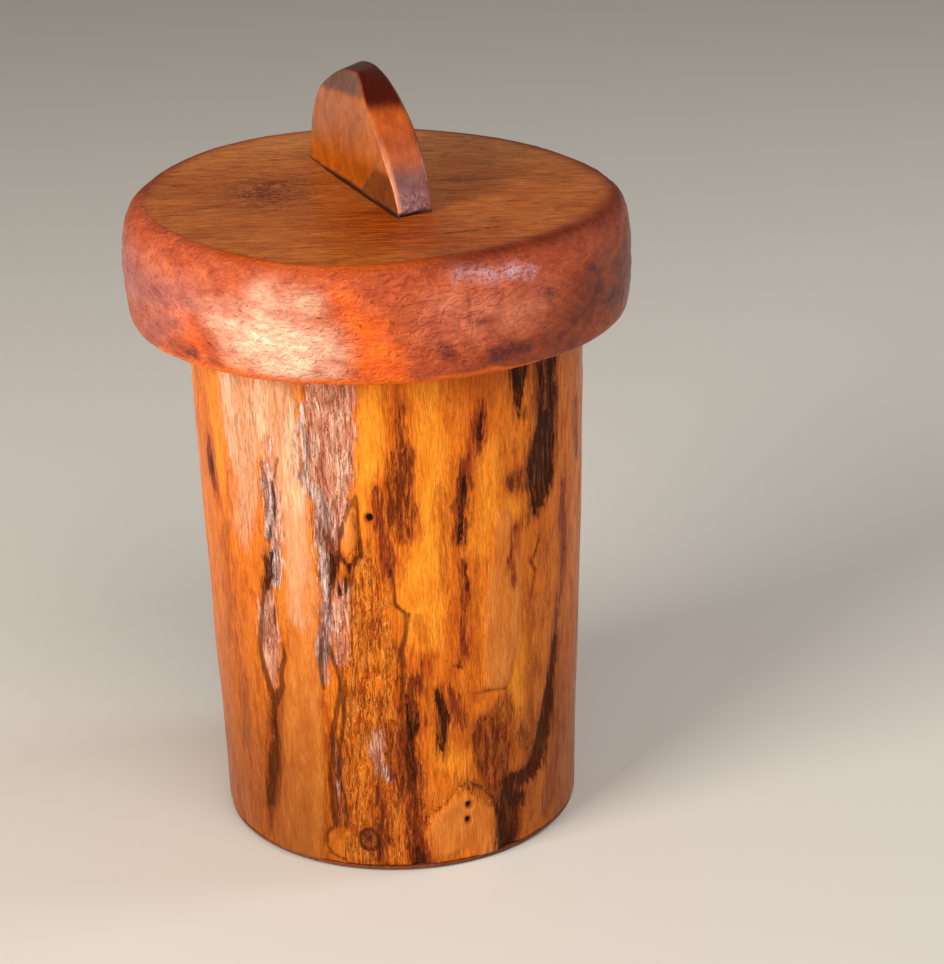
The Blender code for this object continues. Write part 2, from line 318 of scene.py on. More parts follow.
LOG_STREAKS = {
    # Near-black, eroded wood.
    "char": [
        [(50, 106, 2.6), (49.5, 102, 3.8), (48.5, 97, 4.8), (48.5, 92, 4.6)],
        [(48.5, 92, 4.6), (47, 88, 2.8), (46, 85, 1)], [(52, 124, 1.2), (52, 114, 1.4), (53, 106, 1.2)],
        [(47, 122, 0.7), (47.5, 112, 0.9), (48, 104, 1)],
        [(38, 124, 2.2), (38.5, 118, 1.9), (38.5, 114, 1.1), (39.5, 110, 0.3)],
        [(36, 18, 2.4), (36, 13, 3.8), (34.5, 7, 3.6), (34, 2, 3)],
        [(38, 18, 2.2), (44, 18.5, 2.2), (48, 20, 2.6), (51, 27, 3), (53, 34, 2.4)],
        [(53, 34, 2.4), (55.5, 42, 1.4), (57, 50, 0.6)],
        [(11, 46.5, 0.6), (12, 43.5, 1), (12.6, 39, 1.5), (12.5, 34.5, 1.3), (11.5, 30.5, 0.5)],
        [(-43, 34, 0.9), (-44, 27, 1.6), (-46, 19, 1.5), (-48, 12, 0.9)],
        [(-39, 79, 0.6), (-40.5, 76, 0.8), (-40, 73, 0.9), (-42, 70, 0.6)],
        [(-19, 80, 0.7), (-18.5, 77, 1), (-20, 71, 0.6)],
        [(-16, 80, 0.5), (-14, 78, 0.7), (-14.5, 74, 0.6), (-16.5, 71, 0.3)],
        [(2, 43, 0.7), (3.5, 37, 1), (2.5, 30, 0.9), (2, 22, 0.6)], [(3.5, 5, 0.8), (4.5, 2, 1.4)],
        [(20.7, 98, 0.4), (20.2, 93, 0.8), (19.6, 87, 0.8), (18.8, 83, 0.3)],
        [(25.8, 112, 0.3), (25.2, 107, 0.7)], [(-66.3, 97, 0.2), (-66, 93, 0.5)],
    ],
    # Thin dark lines.
    "line": [
        [(-10.7, 95.6, 0.25), (-13, 92, 0.35), (-15, 87.7, 0.4), (-16.3, 84, 0.5), (-17, 79, 0.6)],
        [(-10.7, 95.6, 0.25), (-10.8, 90, 0.4), (-10.8, 86, 0.45), (-10.4, 81, 0.6), (-13, 78, 0.5)],
        [(-1.5, 77, 0.6), (-0.8, 69, 0.4), (1, 67.5, 0.4), (2.8, 66.2, 0.5), (2.2, 61, 0.45)],
        [(2.2, 61, 0.45), (0.6, 57, 0.6), (0.7, 51, 0.6), (1.2, 45, 0.5)],
        [(-22.3, 11.5, 0.4), (-25.6, 8.6, 0.4), (-26, 5, 0.45), (-23.8, 3, 0.4), (-19.6, 2.2, 0.3)],
        [(-41.6, 77, 0.6), (-42.4, 70, 0.6), (-44.2, 64.3, 0.6), (-46.9, 54, 0.8), (-46.4, 49, 0.8)],
        [(-46.4, 49, 0.8), (-44.3, 44.4, 0.9), (-42.5, 40, 1), (-43.5, 34, 0.6)],
        [(-37.3, 56, 0.4), (-36.7, 52.6, 0.6), (-39.1, 48.2, 0.8), (-38.5, 45, 0.8), (-41.5, 40.4, 1)],
        [(-39.2, 65, 0.3), (-39.8, 61, 0.35), (-40.1, 57, 0.35)],
        [(-21.5, 57, 0.5), (-19.4, 52, 0.5), (-18.5, 48, 0.6), (-19.7, 42.6, 0.6), (-21.4, 36, 0.6)],
        [(-21.4, 36, 0.6), (-22.2, 30, 0.7), (-23.1, 23.6, 0.7), (-23.2, 16.8, 0.7), (-22.2, 12, 0.6)],
        [(-17.3, 49, 0.3), (-17.8, 41, 0.4), (-19.1, 33, 0.4), (-20.2, 24, 0.5)],
        [(-20.2, 24, 0.5), (-18.5, 17, 0.4), (-18.8, 11, 0.6)],
        [(48.5, 79, 0.3), (46.8, 76, 0.4), (44.1, 73, 0.35), (45.8, 70, 0.35), (43.7, 64, 0.25)],
        [(-33.9, 103, 0.25), (-36.7, 95.3, 0.45), (-36.4, 90.6, 0.5), (-37.7, 86.8, 0.45), (-40, 81, 0.5)],
        [(-44, 119, 0), (-43, 113, 0.12), (-41.5, 109, 0)],
        [(-21, 66, 0.3), (-23.7, 59, 0.35), (-24.8, 52, 0.4), (-23.9, 47, 0.25)],
        [(20.8, 77, 0.3), (20.4, 74, 0.45)], [(21.6, 72, 0.4), (20.8, 70.5, 0.45)],
        [(16, 52, 0.2), (19.5, 51, 0.25)],
        [(4.6, 9, 0.1), (6.7, 13.6, 0.2), (12.8, 17, 0.22), (16.1, 20.2, 0.22), (20.4, 21.4, 0.22)],
        [(20.4, 21.4, 0.22), (24.7, 19.3, 0.22), (29.2, 15.6, 0.2), (31.1, 11.5, 0.1)],
    ],
    # Dark brown.
    "umber": [
        [(3.5, 116, 0.7), (3.3, 110, 1.1), (3.2, 103, 2.2), (2.4, 97, 3.2)],
        [(2.4, 97, 3.2), (2.4, 90, 3.3), (2.6, 86.5, 2.8)],
        [(27, 34.5, 2.6), (28, 31, 4.2), (30, 26, 4.8), (31, 21, 4), (32, 17, 2.4)],
        [(49.5, 124, 3.2), (50.5, 110, 3.8), (50, 102, 4.4), (47, 94, 5), (41, 94, 3), (37, 94, 2.2)],
        [(-20, 86, 0.5), (-18, 79, 1.6), (-19, 73, 1.2), (-22, 66, 0.4)],
        [(-20.5, 34, 0.8), (-21, 22, 1.4), (-20.8, 12, 1.4)], [(34, 20, 2), (37, 12, 3.8), (36, 3, 3.4)],
        [(46, 20, 3), (52, 30, 2.4), (55, 42, 1.4)],
        [(-4.5, 38, 1.2), (-3, 31, 2.2), (-2.5, 26, 1.8), (-1, 20, 1.2)],
        [(-42.2, 41, 1.2), (-43.5, 31, 1.2), (-43.8, 26, 2), (-44.6, 19, 2.2)],
        [(-44.6, 19, 2.2), (-46.5, 13, 1.6), (-49.3, 5, 0.5)], [(70, 105, 1.2), (71, 93, 1.4)],
    ],
    # Dark red-brown.
    "rust": [
        [(26.3, 114, 0.8), (25.6, 110, 1.5), (24.6, 106, 1.4), (22, 102.5, 1.4), (21, 100, 1.4)],
        [(21, 100, 1.4), (20.3, 94, 1.6), (19.8, 88, 1.4), (18.9, 83, 0.9), (18.5, 79, 0.3)],
        [(6, 54, 0.3), (4.4, 50, 1), (2.2, 45, 1.9), (2.8, 38, 2.8), (1.8, 31, 2.2), (2.2, 22, 1.5)],
        [(2.2, 22, 1.5), (1.9, 14, 1.6), (2.8, 7, 2), (4, 1, 3)],
        [(19, 64, 0.5), (19.4, 59, 1.3), (19.6, 54.5, 1.3), (18, 52, 0.4)],
        [(20.5, 78, 0.5), (20.5, 74, 0.9), (21, 70, 1.2), (20, 66, 0.6)],
        [(-4, 97, 0.8), (-4, 88, 1.3), (-3, 80, 1.4), (-3, 76, 1.2)],
        [(-66, 100, 0.7), (-66.4, 94, 1.7), (-64.7, 88, 1.1)],
        [(14, 46, 1.2), (16, 42, 1.8), (17.8, 39, 1.4), (19, 36, 0.4)],
        [(57, 62, 0.4), (56.5, 52, 0.8), (55.5, 44, 1.3)], [(60, 88, 0.8), (61, 70, 1), (59, 55, 0.6)],
        [(38, 84, 0.4), (36, 76, 0.5), (37, 70, 0.3)],
        [(-8, 22, 0.8), (-7, 16, 1.2), (-7.5, 8, 1.6), (-9, 3, 1)],
    ],
    # Brown smears.
    "stain": [
        [(-58, 45, 1.2), (-57.5, 36, 2.6), (-56.5, 26, 2), (-57, 18, 0.8)],
        [(-59, 54, 0.6), (-58.9, 46, 1.6), (-55, 43, 1.8), (-55.3, 33, 1.6), (-58, 25, 0.8)],
        [(-68, 10, 0.8), (-66, 3, 1.8)], [(-36, 43, 1.6), (-38, 36, 2), (-36, 30, 1)],
        [(-26, 26, 1), (-27, 14, 2), (-31, 4, 2)],
        [(42, 68, 0.8), (43, 56, 1.4), (44, 40, 1.6), (43, 26, 1)],
        [(60, 40, 1.8), (58, 20, 2.2), (52, 6, 2)], [(7, 66, 0.8), (8, 52, 1), (8, 44, 0.5)],
        [(-60, 80, 1.5), (-62, 66, 2), (-64, 50, 1.2)], [(14, 96, 0.6), (13.5, 84, 0.9), (14, 72, 0.5)],
    ],
    # Pinkish weathered sapwood; high on the left its pale pink is partly painted sheen.
    "rose": [
        [(-17, 126, 5.4), (-17, 112, 5.4), (-17, 100, 5), (-18, 90, 3.2), (-20, 78, 2.4)],
        [(-41, 68, 1.8), (-42, 60, 3.2), (-42.5, 52, 2.8), (-42, 45, 1.2)],
        [(-16, 72, 2.2), (-17, 64, 2), (-18, 54, 1.4)],
        [(-36, 107, 0.8), (-37, 96, 2.2), (-36, 86, 1.8), (-37, 76, 1.8)],
        [(-7, 36, 1.6), (-8, 31, 2.6), (-7, 27, 1.8)],
    ],
    # Grey where the wood weathered before it was varnished; its near-white parts are painted glints.
    "grey": [
        [(-25.5, 116, 0.8), (-25.3, 107, 1.7), (-25.5, 99, 1.8), (-22.5, 94, 1.4)],
        [(-37, 101, 0.8), (-38.2, 95, 1.5), (-38, 88, 1.5), (-39.4, 82, 0.8)],
        [(-38.6, 79, 1.6), (-39, 76, 1.7), (-38.6, 72, 1.5)],
        [(-22, 94, 1.2), (-20.5, 88, 2.2), (-20.6, 79, 2.1), (-21, 71, 2)],
        [(-21, 71, 2), (-22.5, 62, 1.7), (-24, 50, 0.7)],
        [(-6.4, 28.5, 0.6), (-5.6, 26, 1.2), (-3.6, 24.5, 1.1)],
        [(-21, 33, 0.7), (-20.8, 22, 0.7), (-20.5, 13, 0.6)], [(35, 14, 0.8), (35, 9, 0.8)],
    ],
    # Smooth pale tan wood, proud of the fibrous parts.
    "tan": [
        [(-31, 101, 1), (-30, 90, 2.8), (-29, 75, 3.4), (-29.5, 60, 3.6), (-30, 50, 4.2)],
        [(-30, 50, 4.2), (-31.5, 40, 5), (-32.5, 30, 6), (-33.5, 18, 6.4), (-36, 2, 6.2)],
        [(-13, 91.5, 0.7), (-13, 88, 1.5), (-13.4, 83, 1.7)],
        [(7, 4, 2.2), (13, 8.5, 5.6), (19, 11.5, 6.6), (25, 8.5, 5.4), (28, 3.5, 4)],
        [(33, 86, 2.4), (34, 75, 4.4), (33, 64, 4.8), (32, 54, 4.8), (31, 47.5, 3.8)],
    ],
    # Bright golden wood.
    "gold": [
        [(10, 124, 3), (10, 105, 4.2), (10, 95, 4.4), (9, 85, 4.6), (7, 74, 4.4), (8, 60, 3.2)],
        [(-4, 124, 2.8), (-5.5, 112, 3), (-6.5, 104, 2.6), (-8, 95, 1.6), (-9, 90, 1.2)],
        [(28, 105, 2.6), (27, 92, 3.2), (25, 80, 2.6)], [(-61, 116, 1.6), (-61, 106, 2), (-60, 90, 1.4)],
        [(12, 30, 2.2), (16, 27, 3), (20, 27, 2.2)], [(34, 92, 1.8), (36, 87, 2.6), (33, 80, 2)],
        [(38, 60, 1.4), (38, 45, 2.2), (38, 34, 2)],
    ],
    # Orange wood whose fibres stand out as threads.
    "threads": [
        [(-9, 84, 1), (-9, 74, 4), (-9, 62, 6.4), (-9, 45, 7.2), (-9, 28, 7.6), (-10, 10, 7.4)],
        [(-10, 10, 7.4), (-10, 2, 7)], [(2.5, 104, 2), (2.4, 92, 3.2), (2.6, 86, 2.8)],
        [(-17, 124, 5), (-17, 100, 5), (-20, 84, 3)], [(36, 16, 3.4), (35, 4, 3)],
        [(49.5, 122, 3.4), (48.5, 96, 5), (46, 86, 2.8), (43, 84, 2)],
        [(28, 34, 4), (31, 22, 4), (33, 40, 2), (47, 20, 2.4)],
        [(-38, 100, 1.8), (-38, 86, 1.8), (-40, 72, 1.8), (-42, 56, 2)],
        [(3, 50, 2), (2.5, 28, 2.6), (3.5, 4, 3.2)], [(17, 20.5, 1.6), (25, 19, 1.6), (30, 14, 1.4)],
    ],
    # Peach-coloured wood high on the left, partly painted sheen, and the palest parts of it, which are
    # painted sheen.
    "peach_sheen": [
        [(-50, 126, 5), (-46, 110, 7), (-48, 94, 5), (-52, 80, 2)],
        [(-36, 126, 6), (-33, 112, 5), (-30, 96, 3), (-30, 80, 3), (-30.5, 64, 2)],
    ],
    "cream_sheen": [
        [(-54, 124, 1.6), (-53, 112, 2.2), (-52, 102, 1)],
        [(-29, 116, 0.8), (-28, 107, 2), (-28.5, 98, 1.6), (-29, 91, 0.6)],
        [(-40, 122, 0.6), (-39, 112, 1.4), (-38, 104, 0.8)],
    ],
}

# Beetle holes as (angle, height, radius), the one knot that is a ring, and a hairline crack.
PINHOLES = [(-7.3, 90.0, 0.9), (20.3, 15.6, 0.7), (20.0, 11.6, 0.7)]
RING_KNOT = (-11.5, 8.0, 2.3)
CRACKS = [[(21.5, 44.3, -0.12), (27.6, 43.9, 0.02), (33.8, 43.2, -0.08)]]


def log_points(directions, low_z, high_z, mouth_r):
    """The log's skin as one ring of rows: down the outside, in under the foot and up the
    bore. Returns the points, and how many rows the outside has."""
    bend, foot_r, bore_r = LOG_RIM_ROUND, LOG_FOOT_R, LOG_BORE_R
    rim = np.radians(np.linspace(88, 0, 6))
    rim_r = mouth_r - bend + bend * np.cos(rim)
    rim_z = high_z - bend + bend * np.sin(rim)
    side_z = np.linspace(high_z - bend, low_z + 0.5, LOG_ROWS)[1:]
    side_r = foot_r + (mouth_r - foot_r) * (side_z - low_z) / (high_z - low_z)
    edge_r = np.array([foot_r - 0.15, foot_r - 0.6])
    edge_z = np.array([low_z + 0.15, low_z])
    inner_z = np.linspace(low_z, high_z - bend, LOG_BORE_ROWS)
    mouth = np.radians(np.linspace(180, 92, 5))
    radius = np.concatenate(
        [rim_r, side_r, edge_r, np.full(LOG_BORE_ROWS, bore_r), bore_r + bend * (1 + np.cos(mouth))]
    )
    height = np.concatenate([rim_z, side_z, edge_z, inner_z, high_z - bend + bend * np.sin(mouth)])
    outside = len(rim_r) + len(side_r) + len(edge_r)
    return turned_points(radius[:, None], height[:, None], directions), outside


def build_log(materials):
    low, high = (np.array(corner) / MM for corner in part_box("body"))
    mouth_r = (high[0] - low[0]) / 2
    angle, directions = around(LOG_COLUMNS)
    points, outside = log_points(directions, low[2] - 0.25, high[2], mouth_r)

    outer = points[:outside]
    height = outer[..., 2]
    angles = np.broadcast_to(angle, height.shape)
    # Streaks wander a little, and less where they are thin.
    wander = 1.0 * noise(outer, (9, 9, 16), 1) + 0.7 * noise(outer, (2.2, 2.2, 7), 2)
    sway = noise(outer, (6, 6, 10), 3)
    fields = {}
    for name, streaks in LOG_STREAKS.items():
        loose = 0.35 if name in ("char", "line", "tan") else 1.0
        everywhere = streaks + back_streaks(name)
        fields[name] = inside(angles + wander * loose, height + sway * loose, mouth_r - 2, everywhere)
    knot_a, knot_z, knot_r = RING_KNOT
    fields["knot"] = -inside(angles, height, mouth_r, [dot(knot_a, knot_z, 0, 0.8)]) - knot_r
    pits = [dot(*hole) for hole in PINHOLES] + CRACKS
    fields["pit"] = inside(angles, height, mouth_r, pits)

    # Fibrous parts are rough and lie a little low, and tan parts are smooth and stand proud.
    dark = np.maximum(fields["char"], fields["umber"])
    fibre = 0.25 + 0.75 * step(fields["threads"], -1.5, 2.0) + 0.5 * step(dark, -1, 1.5)
    fibre = np.clip(fibre + 0.3 * step(fields["rose"], -1, 1) + 0.4 * step(fields["grey"], -1, 1), 0, 1)
    fibre = fibre * (1 - 0.85 * step(fields["tan"], -0.8, 1.0)) * (1 - 0.5 * step(fields["gold"], -1, 2))
    threads = noise(outer, (1.5, 1.5, 9), 5, 2) + 0.6 * noise(outer, (3.4, 3.4, 20), 6, 1)
    ridge = 0.15 * (0.12 + fibre) * threads
    relief = ridge - 0.50 * step(fields["char"], -0.8, 1.6) - 0.18 * step(fields["umber"], -1.0, 1.5)
    relief = relief + 0.34 * step(fields["tan"], -0.5, 0.7) - 0.10 * step(fields["rust"], -1.0, 1.5)
    relief = relief - 0.35 * step(fields["line"], -0.5, 0.4)
    relief = relief - 0.18 * step(fields["grey"], -0.5, 0.8) - 1.0 * step(fields["pit"], -0.5, 0.3)
    raised = np.exp(-((fields["knot"] / 0.7) ** 2)) - np.exp(-(((fields["knot"] + 2.2) / 0.8) ** 2))
    relief = relief + 0.3 * raised
    relief = relief * (1 - 0.6 * step(np.abs(angles), 54, 70))
    shape = 0.38 * noise(outer, (30, 30, 70), 8, 1) + 0.16 * noise(outer, (7, 7, 24), 9)
    moved = (relief + shape - 0.35) * step(high[2] - height, -0.5, 3.0)
    outer[..., :2] += moved[..., None] * directions

    body = skin("log_body", points, ring=True)
    for name, values in fields.items():
        keep_field(body, name, np.clip(values, -8, 8))
    keep_field(body, "fibre", fibre)
    # How low the fibre relief lies, for the painted shade in its hollows.
    keep_field(body, "hollow", np.clip(-threads * (0.2 + 0.8 * fibre), -1, 1))
    # The wood is darker towards the foot, most of all on the left; the right side is darker all the way up
    # and more so low down, which is painted shade.
    low_down = step(height, 88, 4)
    left = step(-angles, 10, 32) * step(angles, -150, -60)
    right = step(angles, 22, 62) * step(-angles, -170, -110)
    foot_dark_and_right_shade = low_down * (0.18 + 0.74 * left + 0.46 * right) + 0.2 * right
    keep_field(body, "foot_dark_and_right_shade", np.clip(foot_dark_and_right_shade, 0, 1))
    rows = np.arange(len(points)).repeat(LOG_COLUMNS)
    set_slots(body, materials, np.where((rows >= 3) & (rows < outside - 1), 0, 1))
    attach(body, "mug")
    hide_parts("body")


def back_streaks(name):
    """Marks on the side that faces away, of the same kinds, drawn with a fixed seed."""
    seeds = {"char": 11, "umber": 12, "rust": 13, "rose": 14, "grey": 15, "tan": 16, "gold": 17}
    counts = {"char": 9, "umber": 8, "rust": 9, "rose": 5, "grey": 6, "tan": 5, "gold": 7}
    if name == "threads":
        return [[(176, 104, 2.0), (184, 70, 7.0), (182, 20, 6.0)], [(108, 60, 2.0), (112, 12, 6.0)]]
    if name not in seeds:
        return []
    random = np.random.default_rng(seeds[name])
    widest = {"tan": 5.0, "gold": 4.5, "rose": 4.0}.get(name, 2.4)
    made = []
    for _ in range(counts[name]):
        centre, top = random.uniform(82, 278), random.uniform(25, 120)
        length = random.uniform(14, 46)
        lean = random.uniform(-5, 5)
        width = random.uniform(0.35, 1.0) * widest
        made.append(
            [
                (centre, top, 0.3 * width),
                (centre + 0.3 * lean, top - 0.3 * length, width),
                (centre + 0.7 * lean, top - 0.7 * length, 0.9 * width),
                (centre + lean, top - length, 0.2 * width),
            ]
        )
    return made


def log_material():
    g = Graph("log_wood")
    threads = g.noise((1.0, 1.0, 6.5), 4.0, 0.6, 0.8)
    fine = g.noise((0.34, 0.34, 2.4), 3.0, 0.6, 0.6, shift=3.0)
    lines = g.noise((0.45, 0.45, 12.0), 3.0, 0.6, 0.5, shift=21.0)
    mottle = g.noise((2.6, 2.6, 9.0), 4.0, 0.6, 0.4, shift=7.0)
    broad = g.noise((11, 11, 34), 3.0, 0.5, shift=11.0)
    crinkle = g.noise((1.5, 1.5, 9.0), 3.0, 0.6, 0.7, shift=31.0)
    torn_noise = g.math("SUBTRACT", g.noise((0.9, 0.9, 6.0), 4.0, 0.65, 0.4, shift=5.0), 0.5)
    veins = g.veins(crinkle, 0.11)
    painted_glint_veins = g.veins(threads, 0.14)

    def mask(name, soft, torn, inset=0.0):
        """1 inside the named streaks, with an edge this soft and this torn, in mm."""
        edge = g.math("ADD", g.field(name), g.times(torn_noise, 2 * torn))
        return g.step(edge, inset - soft, inset + soft)

    fibre = g.field("fibre")
    hollow = g.step(g.field("hollow"), -0.2, 0.9)
    rose_mask = mask("rose", 0.9, 1.4)
    ground = g.mix(broad, rgb(222, 112, 22), rgb(244, 134, 34))
    ground = g.mix(g.step(mottle, 0.45, 1.0), ground, rgb(190, 82, 12))
    ground = g.lay(ground, mask("gold", 2.2, 1.6), 1.0, g.mix(mottle, rgb(255, 160, 44), rgb(236, 124, 24)))
    ground = g.lay(ground, mask("stain", 1.2, 2.2), 0.55, rgb(156, 66, 10))
    ground = g.lay(ground, mask("tan", 0.5, 0.6), 1.0, g.mix(mottle, rgb(232, 142, 60), rgb(204, 104, 30)))
    # Peach wood that is partly painted sheen, with cream painted sheen over it.
    peach_sheen = g.mix(threads, rgb(234, 178, 136), rgb(208, 130, 86))
    ground = g.lay(ground, mask("peach_sheen", 3.0, 2.4), 0.88, peach_sheen)
    cream_sheen = g.mix(threads, rgb(252, 216, 180), rgb(234, 172, 128))
    ground = g.lay(ground, mask("cream_sheen", 2.2, 2.4), 0.7, cream_sheen)
    # Pink sapwood, partly painted sheen high on the left.
    rosy = g.mix(g.step(threads, 0.2, 0.7), rgb(255, 200, 170), rgb(216, 132, 106))
    ground = g.lay(ground, rose_mask, 0.9, rosy)
    lively = g.mix(g.step(threads, 0.15, 0.65), rgb(252, 132, 26), rgb(190, 72, 8))
    # Painted highlight: bright glints along the fibre threads.
    lively = g.lay(lively, painted_glint_veins, 0.7, rgb(255, 176, 72))
    not_rose = g.math("SUBTRACT", 1.0, rose_mask)
    ground = g.lay(ground, g.times(mask("threads", 1.6, 2.0), not_rose), 0.85, lively)

    # Every mark has a stain around it, and its own fibres show through.
    ground = g.lay(ground, mask("rust", 2.0, 2.0, -1.6), 0.45, rgb(178, 70, 14))
    ground = g.lay(ground, mask("umber", 1.8, 2.0, -1.4), 0.5, rgb(172, 74, 12))
    ground = g.lay(ground, mask("char", 1.2, 2.2, -1.0), 0.6, rgb(140, 60, 12))
    # Grey wood whose near-white part is painted glints.
    grey = g.mix(g.step(threads, 0.2, 0.75), rgb(244, 216, 204), rgb(150, 112, 106))
    ground = g.lay(ground, mask("grey", 0.7, 1.6), 0.85, grey)
    through = g.step(threads, -0.05, 0.45)
    rust = g.mix(g.step(fine, 0.2, 0.8), rgb(140, 50, 20), rgb(84, 22, 12))
    ground = g.lay(ground, g.times(mask("rust", 0.7, 1.8), through), 0.88, rust)
    umber = g.mix(g.step(threads, 0.3, 0.7), rgb(200, 96, 32), rgb(108, 40, 12))
    ground = g.lay(ground, g.times(mask("umber", 0.4, 1.2), through), 0.85, umber)
    char = g.mix(g.step(threads, 0.10, 0.50), rgb(134, 70, 24), rgb(28, 9, 4))
    ground = g.lay(ground, mask("char", 0.35, 1.5), 0.96, char)
    ground = g.lay(ground, mask("line", 0.3, 0.45), 0.78, rgb(60, 22, 10))
    ring = g.step(g.math("ABSOLUTE", g.field("knot")), 0.9, 0.25)
    ground = g.lay(ground, ring, 0.85, rgb(60, 18, 10))
    ground = g.lay(ground, g.step(g.field("knot"), -0.3, -1.0), 0.7, rgb(126, 70, 54))
    ground = g.lay(ground, g.step(g.field("knot"), -1.4, -2.0), 0.8, rgb(64, 24, 16))
    # The beetle holes and the crack: a redder rim, and near-black inside, which is painted shade.
    ground = g.lay(ground, g.step(g.field("pit"), -0.7, -0.2), 0.4, rgb(130, 36, 12))
    ground = g.lay(ground, g.step(g.field("pit"), -0.2, 0.25), 1.0, rgb(14, 4, 3))

    # Dark pores run with the grain, dark lines lie sunk between the fibres, and the hollows of the fibre
    # relief are darkened as painted shade.
    pores = g.times(g.step(lines, 0.70, 0.95), g.step(fibre, 0.0, 0.6, 0.3, 0.85))
    ground = g.lay(ground, pores, 0.8, rgb(100, 38, 8))
    sunken = g.times(veins, g.step(fibre, 0.0, 0.8, 0.2, 0.75))
    ground = g.lay(ground, sunken, 0.7, rgb(122, 48, 12))
    ground = g.lay(ground, g.times(hollow, fibre), 0.34, rgb(124, 48, 8))
    ground = g.shade(fine, ground, -0.14)
    # Darker towards the foot, with painted shade on the right side.
    ground = g.lay(ground, g.field("foot_dark_and_right_shade"), 0.76, g.mix(mottle, rgb(120, 54, 6), rgb(80, 32, 4)))

    height = g.times(threads, g.math("ADD", g.times(fibre, -0.9), -0.08))
    normal = g.bump(height, 0.85)
    normal = g.bump(g.times(veins, g.math("SUBTRACT", -0.1, fibre)), 0.2, normal)
    normal = g.bump(g.times(fine, g.math("SUBTRACT", -0.12, fibre)), 0.16, normal)
    normal = g.bump(g.times(lines, -1.0), 0.06, normal)
    roughness = g.step(mottle, 0.0, 1.0, 0.15, 0.27)
    return g.finish(ground, roughness, normal, Specular_IOR_Level=0.10)


def bore_material():
    """Plain bored wood: rings from the bit, and end grain at the rim."""
    g = Graph("bore_wood")
    rings = g.noise((40, 40, 0.7), 3.0, 0.6)
    grain = g.noise((0.5, 0.5, 9.0), 4.0, 0.6, shift=4.0)
    blotch = g.noise((9, 9, 14), 3.0, 0.5, shift=9.0)
    colour = g.mix(g.step(blotch, 0.35, 0.7), rgb(198, 122, 62), rgb(166, 92, 44))
    colour = g.mix(g.step(grain, 0.5, 0.75), colour, rgb(128, 66, 32))
    colour = g.shade(rings, colour, 0.10)
    normal = g.bump(rings, 0.12)
    normal = g.bump(grain, 0.10, normal)
    return g.finish(colour, g.step(blotch, 0.3, 0.7, 0.5, 0.62), normal)


# ---- the lid


# Dark blots in the finish of the lid's side, as (angle, height, half width) stations.
LID_BLOTS = [
    [(13, 8, 0.8), (15.5, 6.5, 1)], [(24, 5.6, 1.2), (28, 4.8, 2), (33, 4.6, 1.4)],
    [(38, 17.5, 0.5), (40, 16, 0.8)], [(54, 17.5, 1), (57, 15.5, 1.6), (56, 12, 0.8)],
    [(21, 13.2, 0.5), (26, 12.4, 0.6)], [(62, 8, 1.6), (70, 7, 2.2)], [(-52, 4, 0.6), (-45, 3.4, 1)],
]

# Short drying cracks in the lid's top, as two ends in mm and a half width.
LID_CHECKS = [
    (15, 7, 29, 6.4, 0.12),
    (14, -35, 27, -31, 0.16),
    (-31, -1, -17, 0.5, 0.1),
    (-20, -3, -12, -5, 0.1),
    (-27, 12, -20, 11, 0.05),
    (-4, -34, 1, -33, 0.05),
    (30, 20, 36, 19, 0.02),
]


